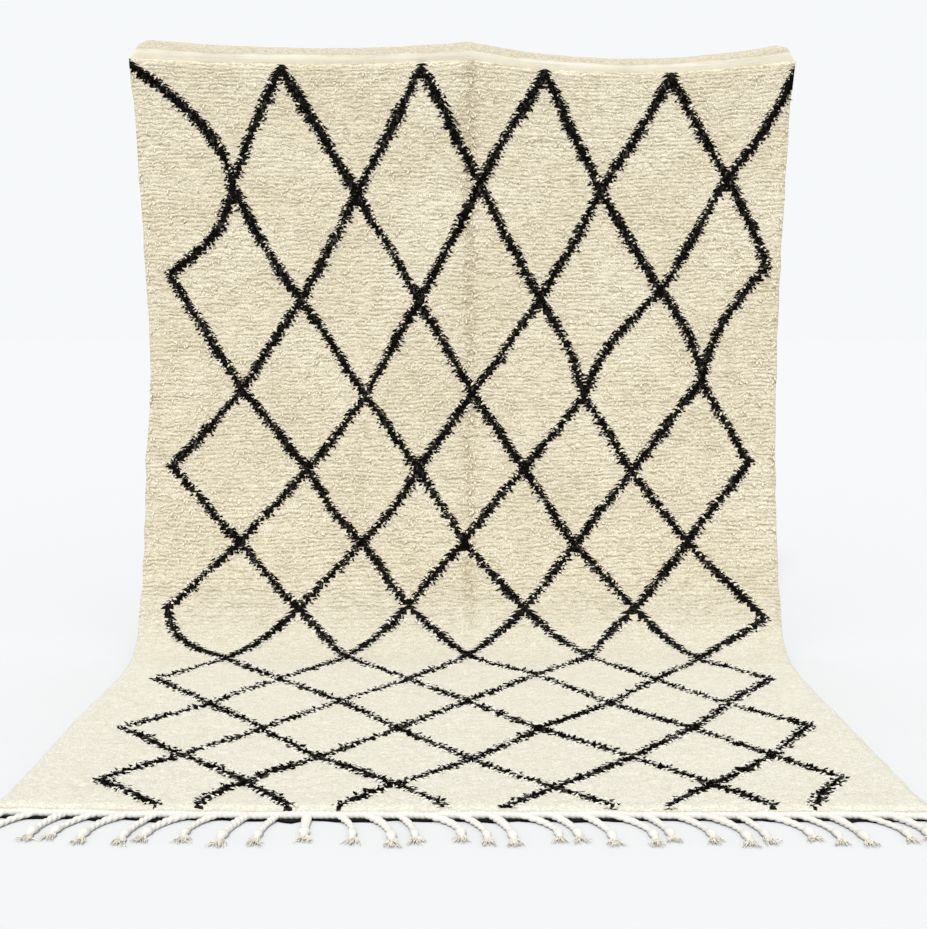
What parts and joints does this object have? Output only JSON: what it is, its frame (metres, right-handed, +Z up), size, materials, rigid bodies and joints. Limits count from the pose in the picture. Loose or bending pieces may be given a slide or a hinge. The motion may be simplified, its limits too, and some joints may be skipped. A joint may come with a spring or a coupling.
{
  "type": "beni ourain rug",
  "caption": "Shaggy ivory wool rug with a black hand-drawn diamond lattice, held up along one edge so that it hangs, bends and runs out over the floor to a tasselled end",
  "frame": {"origin": "on the floor, at the centre of the bounding box of the rug and its fringe", "axes": "+X across the rug, +Y from the tasselled front end towards the hanging part, +Z up"},
  "size_m": [2.0572, 1.652, 1.8798],
  "materials": {
    "ivory_wool": "matte",
    "black_wool": "matte",
    "fringe_wool": "matte"
  },
  "bodies": {
    "root": {"rug": "ivory_wool", "fringe": "fringe_wool"}
  },
  "joints": []
}
